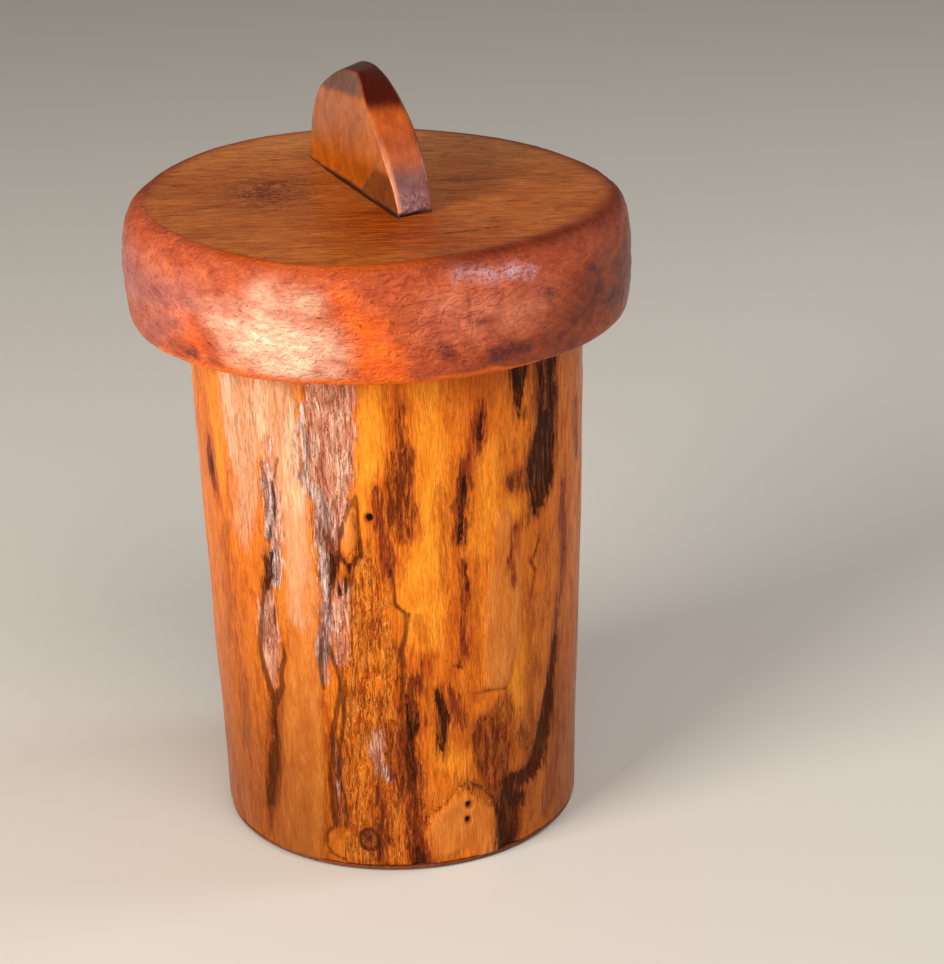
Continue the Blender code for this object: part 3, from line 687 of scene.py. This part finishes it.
def lid_material():
    g = Graph("lid_wood")
    grain = g.noise((8.0, 0.6, 0.6), 4.0, 0.6, 0.3)
    pores = g.noise((3.2, 0.3, 0.3), 3.0, 0.55, shift=6.0)
    dashes = g.noise((4.5, 0.8, 0.8), 3.0, 0.6, 0.3, shift=29.0)
    blotch = g.noise((14, 7, 9), 5.0, 0.6, 0.4, shift=2.0)
    cloud = g.noise((6.0, 5.0, 3.0), 4.0, 0.6, 0.5, shift=27.0)
    crinkle = g.noise((2.8, 2.8, 1.8), 2.0, 0.5, 1.4, shift=13.0)
    speckle = g.noise((1.5, 1.5, 0.8), 3.0, 0.6, 0.5, shift=17.0)
    creases = g.veins(crinkle, 0.20)
    on_side = g.field("side")

    face = g.mix(blotch, rgb(208, 116, 46), rgb(160, 78, 22))
    # Painted reflection: the top grows lighter towards the back.
    face = g.mix(g.field("far"), face, rgb(206, 130, 66))
    face = g.mix(g.field("deep"), face, g.mix(g.step(grain, 0.2, 0.7), rgb(184, 84, 4), rgb(140, 46, 2)))
    face = g.lay(face, g.step(grain, 0.3, 0.9), 0.5, rgb(112, 44, 8))
    face = g.lay(face, g.step(dashes, 0.62, 0.86), 0.6, rgb(92, 34, 8))
    wall = g.mix(cloud, rgb(200, 92, 46), rgb(152, 56, 30))
    wall = g.mix(g.field("orange"), wall, g.mix(cloud, rgb(250, 116, 32), rgb(222, 78, 16)))
    # Pink patches, the left one painted sheen, and a mauve painted sheen at the left end.
    wall = g.mix(g.field("pink"), wall, g.mix(cloud, rgb(228, 134, 100), rgb(172, 76, 54)))
    wall = g.mix(g.field("mauve_end"), wall, g.mix(cloud, rgb(186, 110, 104), rgb(140, 68, 64)))
    wall = g.mix(g.field("maroon"), wall, g.mix(cloud, rgb(150, 64, 24), rgb(74, 26, 16)))
    # Painted highlight: a pale patch low on the front left of the side, over crinkled wood.
    pale = g.mix(g.step(cloud, 0.2, 0.9), rgb(255, 222, 186), rgb(244, 170, 138))
    wall = g.mix(g.field("pale"), wall, pale)
    wall = g.lay(wall, g.field("blots"), g.step(speckle, 0.0, 0.6, 0.3, 0.8), rgb(82, 28, 30))
    # Painted highlight: a mauve-white glint along the right front shoulder.
    wall = g.lay(wall, g.field("shoulder_highlight"), g.step(speckle, 0.1, 0.7), rgb(232, 192, 206))
    wall = g.mix(g.field("strip"), wall, rgb(236, 104, 16))
    inked = g.math("ADD", 0.08, g.times(g.field("pale"), 0.42))
    wall = g.lay(wall, creases, inked, rgb(216, 124, 108))
    wall = g.lay(wall, g.step(speckle, 0.76, 0.96), 0.6, rgb(110, 40, 26))
    wall = g.lay(wall, g.step(dashes, 0.62, 0.9), 0.3, rgb(122, 44, 22))
    colour = g.mix(on_side, face, wall)
    colour = g.mix(g.field("rim"), colour, rgb(172, 66, 2))
    colour = g.mix(g.field("dark_rim"), colour, g.mix(cloud, rgb(128, 46, 12), rgb(92, 26, 6)))
    inlaid = g.step(on_side, 0.0, 1.0, 0.65, 0.2)
    colour = g.lay(colour, g.step(pores, 0.74, 0.95), inlaid, rgb(76, 28, 8))
    worked = g.math("MAXIMUM", creases, g.step(pores, 0.5, 0.8))
    colour = g.lay(colour, g.field("smudge"), worked, rgb(84, 32, 12))
    colour = g.mix(g.field("check"), colour, rgb(62, 22, 8))
    colour = g.mix(g.field("scratch"), colour, rgb(66, 24, 14))
    colour = g.shade(g.noise((6.0, 0.9, 0.9), 3.0, 0.6, shift=23.0), colour, -0.10)

    normal = g.bump(g.times(crinkle, g.step(on_side, 0.0, 1.0, 0.05, 1.0)), 0.34)
    normal = g.bump(g.times(pores, -1.0), 0.08, normal)
    normal = g.bump(g.times(grain, -1.0), 0.10, normal)
    normal = g.bump(speckle, 0.07, normal)
    roughness = g.step(blotch, 0.0, 1.0, 0.18, 0.30)
    return g.finish(colour, roughness, normal, Specular_IOR_Level=0.15)


def lid_shoulder(angle):
    """The radius in mm at which the flat top ends. The edge was rounded by hand: tight at the
    front, and wide to either side of it."""
    front = 4.6 * np.exp(-(((angle + 12) / 22) ** 2))
    right = 1.4 * np.exp(-(((angle - 80) / 26) ** 2))
    return LID_SHOULDER_R + front + right


def lid_profile(thickness, shoulder, sideways):
    """The radius and the height above the underside of the lid's rows, from near the top's
    centre down the outside to near the underside's centre, for each column's shoulder and for
    how far (0 to 1) it faces left or right."""
    top_r = np.sqrt(np.linspace(0.0004, 1, LID_TOP_ROWS))[:, None] * shoulder
    turn = np.linspace(0, np.pi / 2, LID_SIDE_ROWS + 1)[1:, None]
    power = 2 / LID_SHOULDER_POWER
    upper_r = shoulder + (LID_BULGE_R - shoulder) * np.sin(turn) ** power
    upper_z = LID_BULGE_Z + (thickness - LID_BULGE_Z) * np.cos(turn) ** power
    lower = np.radians(np.linspace(0, 90, LID_SIDE_ROWS // 2))[1:]
    low_power = 2 / LID_LOW_POWER
    spread = np.maximum(np.cos(lower), 0) ** low_power
    under_r = np.linspace(LID_UNDERSIDE_R - 1.0, 1.5, LID_UNDER_ROWS)
    # The underside reaches further out at the left and right than at the front and back.
    fuller = np.concatenate([1 - spread, under_r / LID_UNDERSIDE_R])[:, None] * sideways
    lower_r = LID_UNDERSIDE_R + (LID_BULGE_R - LID_UNDERSIDE_R) * spread
    rest_r = np.concatenate([lower_r, under_r])[:, None] + LID_UNDERSIDE_SPREAD * fuller
    rest_z = np.concatenate([LID_BULGE_Z * (1 - np.sin(lower) ** low_power), np.zeros(LID_UNDER_ROWS)])
    height = np.concatenate([np.full(LID_TOP_ROWS, thickness), upper_z[:, 0], rest_z])
    radius = np.concatenate([top_r, upper_r, rest_r])
    return radius, np.broadcast_to(height[:, None], radius.shape)


def build_lid(material):
    low, high = (np.array(corner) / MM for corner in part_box("lid"))
    thickness = high[2] - low[2]
    centre = (low + high) / 2
    angle, directions = around(LID_COLUMNS)
    sideways = np.sin(np.radians(angle)) ** 2
    radius, heights = lid_profile(thickness, lid_shoulder(angle), sideways)
    points = turned_points(radius, heights, directions)
    angles = np.broadcast_to(angle, heights.shape)
    runs = np.hypot(np.diff(radius, axis=0), np.diff(heights, axis=0))
    past = np.concatenate([np.zeros((1, LID_COLUMNS)), np.cumsum(runs, axis=0)])
    past = past - past[LID_TOP_ROWS - 1]
    on_side = step(past, -0.2, 1.2)

    # Shaped by hand: not quite round, and with the low lumps that a rasp leaves.
    turn = np.radians(angles)
    out = 0.35 * np.cos(2 * turn - 2.2) + 0.25 * np.cos(3 * turn + 0.6)
    lumps = 0.16 * noise(points, (9, 9, 9), 31) + 0.10 * noise(points, (3.2, 2.4, 2.0), 32)
    share = radius / LID_BULGE_R
    points[..., :2] += ((out * share**4 + lumps * on_side)[..., None]) * directions
    points[..., 2] += 0.10 * noise(points, (22, 9, 20), 33) * step(heights, 20, 26) * step(-share, -1, -0.9)
    # The lower edge is a little worn on the left. The slab is thickest at the back left and
    # thinnest at the back right.
    drop = np.clip((LID_BULGE_Z - heights) / LID_BULGE_Z, 0, 1)
    edge_wear_and_highlight = 0.35 * np.sin(0.75 * np.pi * drop) * step(np.abs(angles + 70), 60, 10) * step(share, 0.9, 0.93)
    points[..., :2] -= edge_wear_and_highlight[..., None] * directions
    thick = step(points[..., 1], 8, 52) * step(points[..., 0], 34, -14)
    thin = step(points[..., 0], 28, 52) * step(points[..., 1], -12, 20)
    points[..., 2] += (1.5 * thick - 0.9 * thin) * step(heights, 10, thickness)

    ragged = 1.3 * noise(points, (4, 4, 3), 36)

    def patch(soft, *streaks):
        """1 inside these streaks on the side, fading out over this many mm."""
        depth = inside(angles, heights, LID_BULGE_R, list(streaks)) + ragged * min(1, soft)
        return step(depth, -soft, soft) * on_side

    def pool(centre_x, centre_y, size_x, size_y):
        """1 at a place on the flat top, fading out over these sizes in mm."""
        x, y = points[..., 0] - centre_x, points[..., 1] - centre_y
        return np.exp(-((x / size_x) ** 2) - (y / size_y) ** 2) * (1 - on_side)

    far_side = 0.7 * step(np.abs(angles), 78, 100)
    checks = np.full(radius.shape, OUTSIDE)
    waver = 0.5 * noise(points, (3, 3, 3), 34, 1)
    for x0, y0, x1, y1, half_width in LID_CHECKS:
        run = np.array([x1 - x0, y1 - y0])
        away = points[..., :2] - (x0, y0)
        along = np.clip(away @ run / (run @ run), 0, 1)
        gap = np.hypot(away[..., 0] - along * run[0], away[..., 1] - along * run[1] + waver)
        checks = np.maximum(checks, half_width - gap)
    fields = {
        "side": on_side,
        "rim": np.exp(-(((past - 1.2) / 1.5) ** 2)) * 0.9 * step(angles, -58, -34) * step(angles, 24, 10),
        "dark_rim": np.exp(-(((past - 2.0) / 2.9) ** 2)) * np.clip(step(angles, 2, 24) + far_side, 0, 0.96),
        # Painted reflection on the back of the top.
        "far": 0.7 * step(points[..., 1], 2, 48),
        # Painted highlight on the front left of the side.
        "pale": patch(
            7, [(-37, 13, 1), (-30, 10, 5), (-20, 8, 7), (-14, 8, 4)], [(-26, 19, 1), (-16, 18, 0.5)]
        ),
        "orange": patch(
            4, [(-8, 21, 1), (-3, 12, 4), (0, 4, 5)], [(-34, 2, 2), (-22, 1, 1)], [(-52, 18, 2), (-44, 6, 2)]
        ),
        # Pink patches: the one on the left is painted sheen.
        "pink": patch(
            7, [(14, 16, 4), (24, 14, 5), (36, 14, 3)], [(-74, 14, 6), (-56, 15, 6), (-42, 17, 3)]
        ),
        "maroon": patch(
            7, [(38, 4, 2), (56, 11, 8), (80, 12, 11), (110, 12, 11)], [(22, 2, 1), (50, 3, 4)]
        ),
        # Painted mauve sheen at the left end.
        "mauve_end": 0.95 * patch(
            5, [(-92, 12, 8), (-74, 15, 5), (-62, 13, 3), (-46, 16, 2)], [(-66, 3, 2), (-50, 10, 1)]
        ),
        "strip": patch(0.6, [(-60, 0.6, 0.8), (20, 0.6, 1.0), (40, 0.4, 0.2)]),
        "scratch": patch(0.35, [(19, 20, 0.05), (19.2, 13, 0.1)]),
        "check": (1 - on_side) * step(checks, -0.35, 0.15),
        "deep": np.clip(0.95 * pool(1, -22, 12, 14) + 0.7 * pool(8, -40, 18, 12), 0, 1),
        "smudge": pool(-24, 2, 11, 15) + 0.5 * pool(21, 7, 8, 3),
        "blots": patch(1.2, *LID_BLOTS),
        # Painted highlight along the right front shoulder.
        "shoulder_highlight": 0.85 * patch(2.2, [(17, 24.0, 0.4), (25, 23.0, 1.2), (31, 22.2, 1.3), (35, 21.6, 0.4)]),
    }
    lid = skin("lid_top", points + (centre[0], centre[1], low[2]), poles=True)
    for name, values in fields.items():
        keep_field(lid, name, values)
    set_slots(lid, [material])
    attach(lid, "lid_assembly")
    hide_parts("lid")


# ---- the handle


def half_moon(length, height, apex, front_power, back_power):
    """Distances from the front foot, and heights, along a fin's outline from its front foot
    over its top to its back foot, as two superellipse quarters."""
    angle = np.linspace(0, np.pi / 2, HANDLE_STEPS // 2)
    front = apex * length
    along = front * (1 - np.cos(angle) ** (2 / front_power))
    up = height * np.sin(angle) ** (2 / front_power)
    back = angle[1:]
    over = front + (length - front) * np.sin(back) ** (2 / back_power)
    down = height * np.cos(back) ** (2 / back_power)
    return np.concatenate([along, over]), np.concatenate([up, down])


def handle_material():
    g = Graph("fin_wood")
    grain = g.noise((0.9, 6.0, 4.0), 4.0, 0.6, 0.4)
    pores = g.noise((0.35, 1.6, 0.8), 3.0, 0.6, shift=5.0)
    blotch = g.noise((6, 6, 6), 3.0, 0.5, 0.6, shift=8.0)
    colour = g.mix(blotch, rgb(184, 104, 56), rgb(144, 76, 40))
    colour = g.mix(g.field("brown"), colour, g.mix(blotch, rgb(126, 64, 28), rgb(100, 46, 20)))
    colour = g.mix(g.field("amber"), colour, g.mix(blotch, rgb(178, 86, 8), rgb(140, 62, 6)))
    colour = g.mix(g.field("grey_top"), colour, g.mix(blotch, rgb(124, 86, 70), rgb(98, 64, 52)))
    colour = g.mix(g.field("band"), colour, g.mix(blotch, rgb(184, 88, 32), rgb(150, 62, 20)))
    colour = g.mix(g.field("dark_band"), colour, rgb(68, 13, 2))
    colour = g.mix(g.field("mauve"), colour, g.mix(blotch, rgb(126, 74, 70), rgb(84, 38, 38)))
    pale_ends = g.mix(g.step(pores, 0.0, 1.0), rgb(170, 120, 120), rgb(112, 66, 68))
    colour = g.mix(g.field("end_grain"), colour, pale_ends)
    colour = g.lay(colour, g.step(pores, 0.7, 0.95), 0.35, rgb(84, 34, 14))
    # Painted highlight along the bevel between the left face and the band.
    colour = g.mix(g.field("edge_wear_and_highlight"), colour, rgb(230, 146, 98))
    # A dark glue line at the foot, partly painted shade in the gap to the lid.
    colour = g.mix(g.field("glue_and_gap_shade"), colour, rgb(44, 14, 8))
    colour = g.shade(grain, colour, -0.12)
    normal = g.bump(grain, 0.06)
    normal = g.bump(g.times(pores, -1.0), 0.05, normal)
    return g.finish(colour, g.step(blotch, 0.0, 1.0, 0.16, 0.28), normal, Specular_IOR_Level=0.22)


def build_handle(material):
    low, high = (np.array(corner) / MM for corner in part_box("handle"))
    centre = (low + high) / 2
    foot_z = low[2] - 0.45
    tall = high[2] - 0.1 - foot_z
    left_s, left_h = half_moon(HANDLE_LENGTH - 1.0, tall - 0.2, **HANDLE_LEFT)
    right_s, right_h = half_moon(HANDLE_LENGTH, tall - 0.25, **HANDLE_RIGHT)
    right_s = right_s * (HANDLE_LENGTH - HANDLE_RIGHT_SETBACK) / HANDLE_LENGTH + HANDLE_RIGHT_SETBACK
    half = HANDLE_THICKNESS / 2
    left_bevel, right_round = 0.6, 0.7
    rows = []
    for t in np.linspace(0, 1, HANDLE_FACE_ROWS):
        rows.append((np.full_like(left_s, -half), left_s, left_h * t * (1 - left_bevel / tall)))
    for t in np.linspace(0, 1, HANDLE_BAND_ROWS):
        x = -half + left_bevel + (2 * half - left_bevel - right_round) * t
        band_s, band_h = left_s + (right_s - left_s) * t, left_h + (right_h - left_h) * t
        rows.append((np.full_like(left_s, x), band_s, band_h))
    for t in np.linspace(1, 0, HANDLE_FACE_ROWS):
        rows.append((np.full_like(left_s, half), right_s, right_h * t * (1 - right_round / tall)))
    points = np.stack([np.stack(row, -1) for row in rows], 1)
    x, s, h = points[..., 0].copy(), points[..., 1].copy(), points[..., 2].copy()
    row = np.broadcast_to(np.arange(points.shape[1]), x.shape)
    on_left = row < HANDLE_FACE_ROWS
    on_band = (row >= HANDLE_FACE_ROWS) & (row < HANDLE_FACE_ROWS + HANDLE_BAND_ROWS)

    # Carved with a knife: a belly, shallow facets, a bevel along the top of the left face and
    # another along its foot.
    top_facet = h - 19.6 - 0.11 * (46 - s)
    up, back = np.clip(h / tall, 0, 1), np.clip(s / HANDLE_LENGTH, 0, 1)
    belly = 0.35 * np.sin(np.pi * up) * np.sin(np.pi * back)
    knife = 0.20 * noise(np.stack([s, h, x], -1), (9, 7, 30), 41)
    out = np.where(on_band, 0, belly + knife)
    out = out - np.where(on_left, 0.28 * np.clip(top_facet, 0, 9), 0)
    out = out + np.where(on_left, 0.35 * np.clip(1.6 - h, 0, 1.6), 0)
    points[..., 0] += np.where(on_left, -out, np.where(on_band, 0, out))
    lean = np.clip(top_facet, 0, 9) * 0.28 * on_band * (1 - (row - HANDLE_FACE_ROWS) / HANDLE_BAND_ROWS)
    points[..., 0] += lean
    points[..., 2] += np.where(on_band, 0.08 * noise(np.stack([s, h, x], -1), (7, 7, 5), 43), 0)

    crease = np.exp(-(((row - HANDLE_FACE_ROWS + 0.5) / 0.9) ** 2)) * step(s, 34, 16)
    cut = h - 0.4 - 0.75 * (23.8 - s)
    fields = {
        "brown": on_left * step(cut, 0.5, -0.5) * step(h, 9.5, 7.5),
        "amber": on_left * step(cut, -0.5, 0.5) * step(h + 0.1 * (s - 20), 13, 6),
        "grey_top": on_left * step(top_facet, -0.4, 0.8),
        "band": on_band * 1.0,
        "dark_band": on_band * step(h, 19.5, 22.0) * step(s, 60, 40),
        "mauve": on_band * step(h, 12, 7) * step(s, 40, 28),
        "end_grain": on_band * step(h, 6.5, 3.5) * step(s, 40, 28),
        # Painted highlight along the bevel.
        "edge_wear_and_highlight": crease * step(h, 18, 8) * 0.8,
        "glue_and_gap_shade": step(h, 1.2, 0.8),
    }
    cos_turn, sin_turn = math.cos(HANDLE_TURN), math.sin(HANDLE_TURN)
    across, along = points[..., 0].copy(), points[..., 1] - HANDLE_LENGTH / 2
    placed = np.stack(
        [
            centre[0] + across * cos_turn - along * sin_turn,
            centre[1] + across * sin_turn + along * cos_turn,
            foot_z + points[..., 2],
        ],
        -1,
    )
    # The two end stations lie flat on the lid, so the skin closes just inside them.
    handle = skin("handle_fin", placed[1:-1], poles=True)
    for name, values in fields.items():
        keep_field(handle, name, values[1:-1])
    set_slots(handle, [material])
    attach(handle, "lid_assembly")
    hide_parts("handle")


# ---- the frame's own pieces


def plain_wood(name, light, dark, rings_mm, shine):
    """Turned wood that shows as rings and fine pores, for a piece kept as the frame has it."""
    g = Graph(name)
    rings = g.noise((rings_mm, 9.0, 9.0), 4.0, 0.55, 0.3)
    pores = g.noise((0.3, 1.6, 1.6), 3.0, 0.6, shift=4.0)
    cloud = g.noise((14, 14, 14), 3.0, 0.5, shift=9.0)
    colour = g.mix(rings, light, dark)
    colour = g.lay(colour, g.step(pores, 0.6, 0.9), 0.5, dark)
    colour = g.shade(cloud, colour, 0.10)
    normal = g.bump(rings, 0.08)
    normal = g.bump(pores, -0.06, normal)
    roughness = g.step(cloud, 0.0, 1.0, shine, shine + 0.15)
    return g.finish(colour, roughness, normal, Specular_IOR_Level=0.3)


def aged_brass():
    g = Graph("aged_brass")
    turned = g.noise((0.5, 0.5, 0.05), 3.0, 0.5)
    tarnish = g.noise((1.4, 1.4, 1.4), 4.0, 0.6, shift=5.0)
    colour = g.mix(g.step(tarnish, 0.35, 0.8), rgb(206, 164, 92), rgb(118, 82, 44))
    normal = g.bump(turned, 0.02)
    return g.finish(colour, g.step(tarnish, 0.2, 0.9, 0.25, 0.5), normal, Metallic=1.0)


def finish_frame_pieces():
    finishes = {
        "base_disc": plain_wood("base_wood", rgb(132, 66, 30), rgb(88, 38, 16), 1.6, 0.4),
        "lid_spigot": plain_wood("spigot_wood", rgb(206, 148, 94), rgb(164, 104, 58), 1.4, 0.5),
        "handle_dowel": plain_wood("dowel_wood", rgb(214, 164, 108), rgb(176, 120, 70), 0.8, 0.5),
        "spigot_screw": aged_brass(),
    }
    for name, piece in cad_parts.items():
        for start, material in finishes.items():
            if name.startswith(start):
                piece.data.materials.clear()
                piece.data.materials.append(material)


# ---- the room


def build_floor():
    reach, z = 6.0, -0.0002
    mesh = bpy.data.meshes.new("floor")
    corners = [(-reach, -reach, z), (reach, -reach, z), (reach, reach, z), (-reach, reach, z)]
    mesh.from_pydata(corners, [], [(0, 1, 2, 3)])
    floor = bpy.data.objects.new("floor", mesh)
    bpy.context.scene.collection.objects.link(floor)
    g = Graph("floor")
    g.finish(rgb(214, 208, 199), 0.7, Specular_IOR_Level=0.2)
    floor.data.materials.append(g.material)


def softbox(name, place, aim, size, power, colour):
    data = bpy.data.lights.new(name, "AREA")
    data.shape = "RECTANGLE"
    data.size, data.size_y = size
    data.energy = power
    data.color = colour
    lamp = bpy.data.objects.new(name, data)
    bpy.context.scene.collection.objects.link(lamp)
    lamp.location = place
    lamp.rotation_euler = (Vector(aim) - Vector(place)).to_track_quat("-Z", "Y").to_euler()


def build_lights():
    middle = (0, 0, 0.1)
    softbox("window", (-0.8, -0.7, 0.55), middle, (0.6, 0.55), 16, (1.0, 0.96, 0.9))
    softbox("sky", (0.95, 0.1, 0.62), middle, (0.3, 0.3), 3.4, (0.84, 0.9, 1.0))
    softbox("fill", (0.35, -0.85, 1.15), middle, (0.9, 0.8), 9, (1.0, 0.96, 0.9))
    world = bpy.data.worlds.new("studio")
    bpy.context.scene.world = world
    world.use_nodes = True
    background = world.node_tree.nodes["Background"]
    background.inputs["Color"].default_value = (1.0, 0.94, 0.86, 1.0)
    background.inputs["Strength"].default_value = 0.16
    bpy.context.scene.view_settings.view_transform = "Standard"


def build_camera():
    data = bpy.data.cameras.new("camera")
    data.lens = CAMERA_LENS_MM
    data.sensor_width = 36.0
    camera = bpy.data.objects.new("camera", data)
    bpy.context.scene.collection.objects.link(camera)
    flat = math.cos(CAMERA_PITCH)
    ahead = (math.sin(CAMERA_YAW) * flat, math.cos(CAMERA_YAW) * flat, -math.sin(CAMERA_PITCH))
    forward = Vector(ahead)
    level = Vector((math.cos(CAMERA_YAW), -math.sin(CAMERA_YAW), 0))
    upright = level.cross(forward)
    right = math.cos(CAMERA_ROLL) * level + math.sin(CAMERA_ROLL) * upright
    up = -math.sin(CAMERA_ROLL) * level + math.cos(CAMERA_ROLL) * upright
    turned = Matrix((right, up, -forward)).transposed().to_4x4()
    camera.matrix_world = Matrix.Translation(CAMERA_AT) @ turned
    bpy.context.scene.camera = camera


build_camera()
build_lights()
build_floor()
build_log([log_material(), bore_material()])
build_lid(lid_material())
build_handle(handle_material())
finish_frame_pieces()
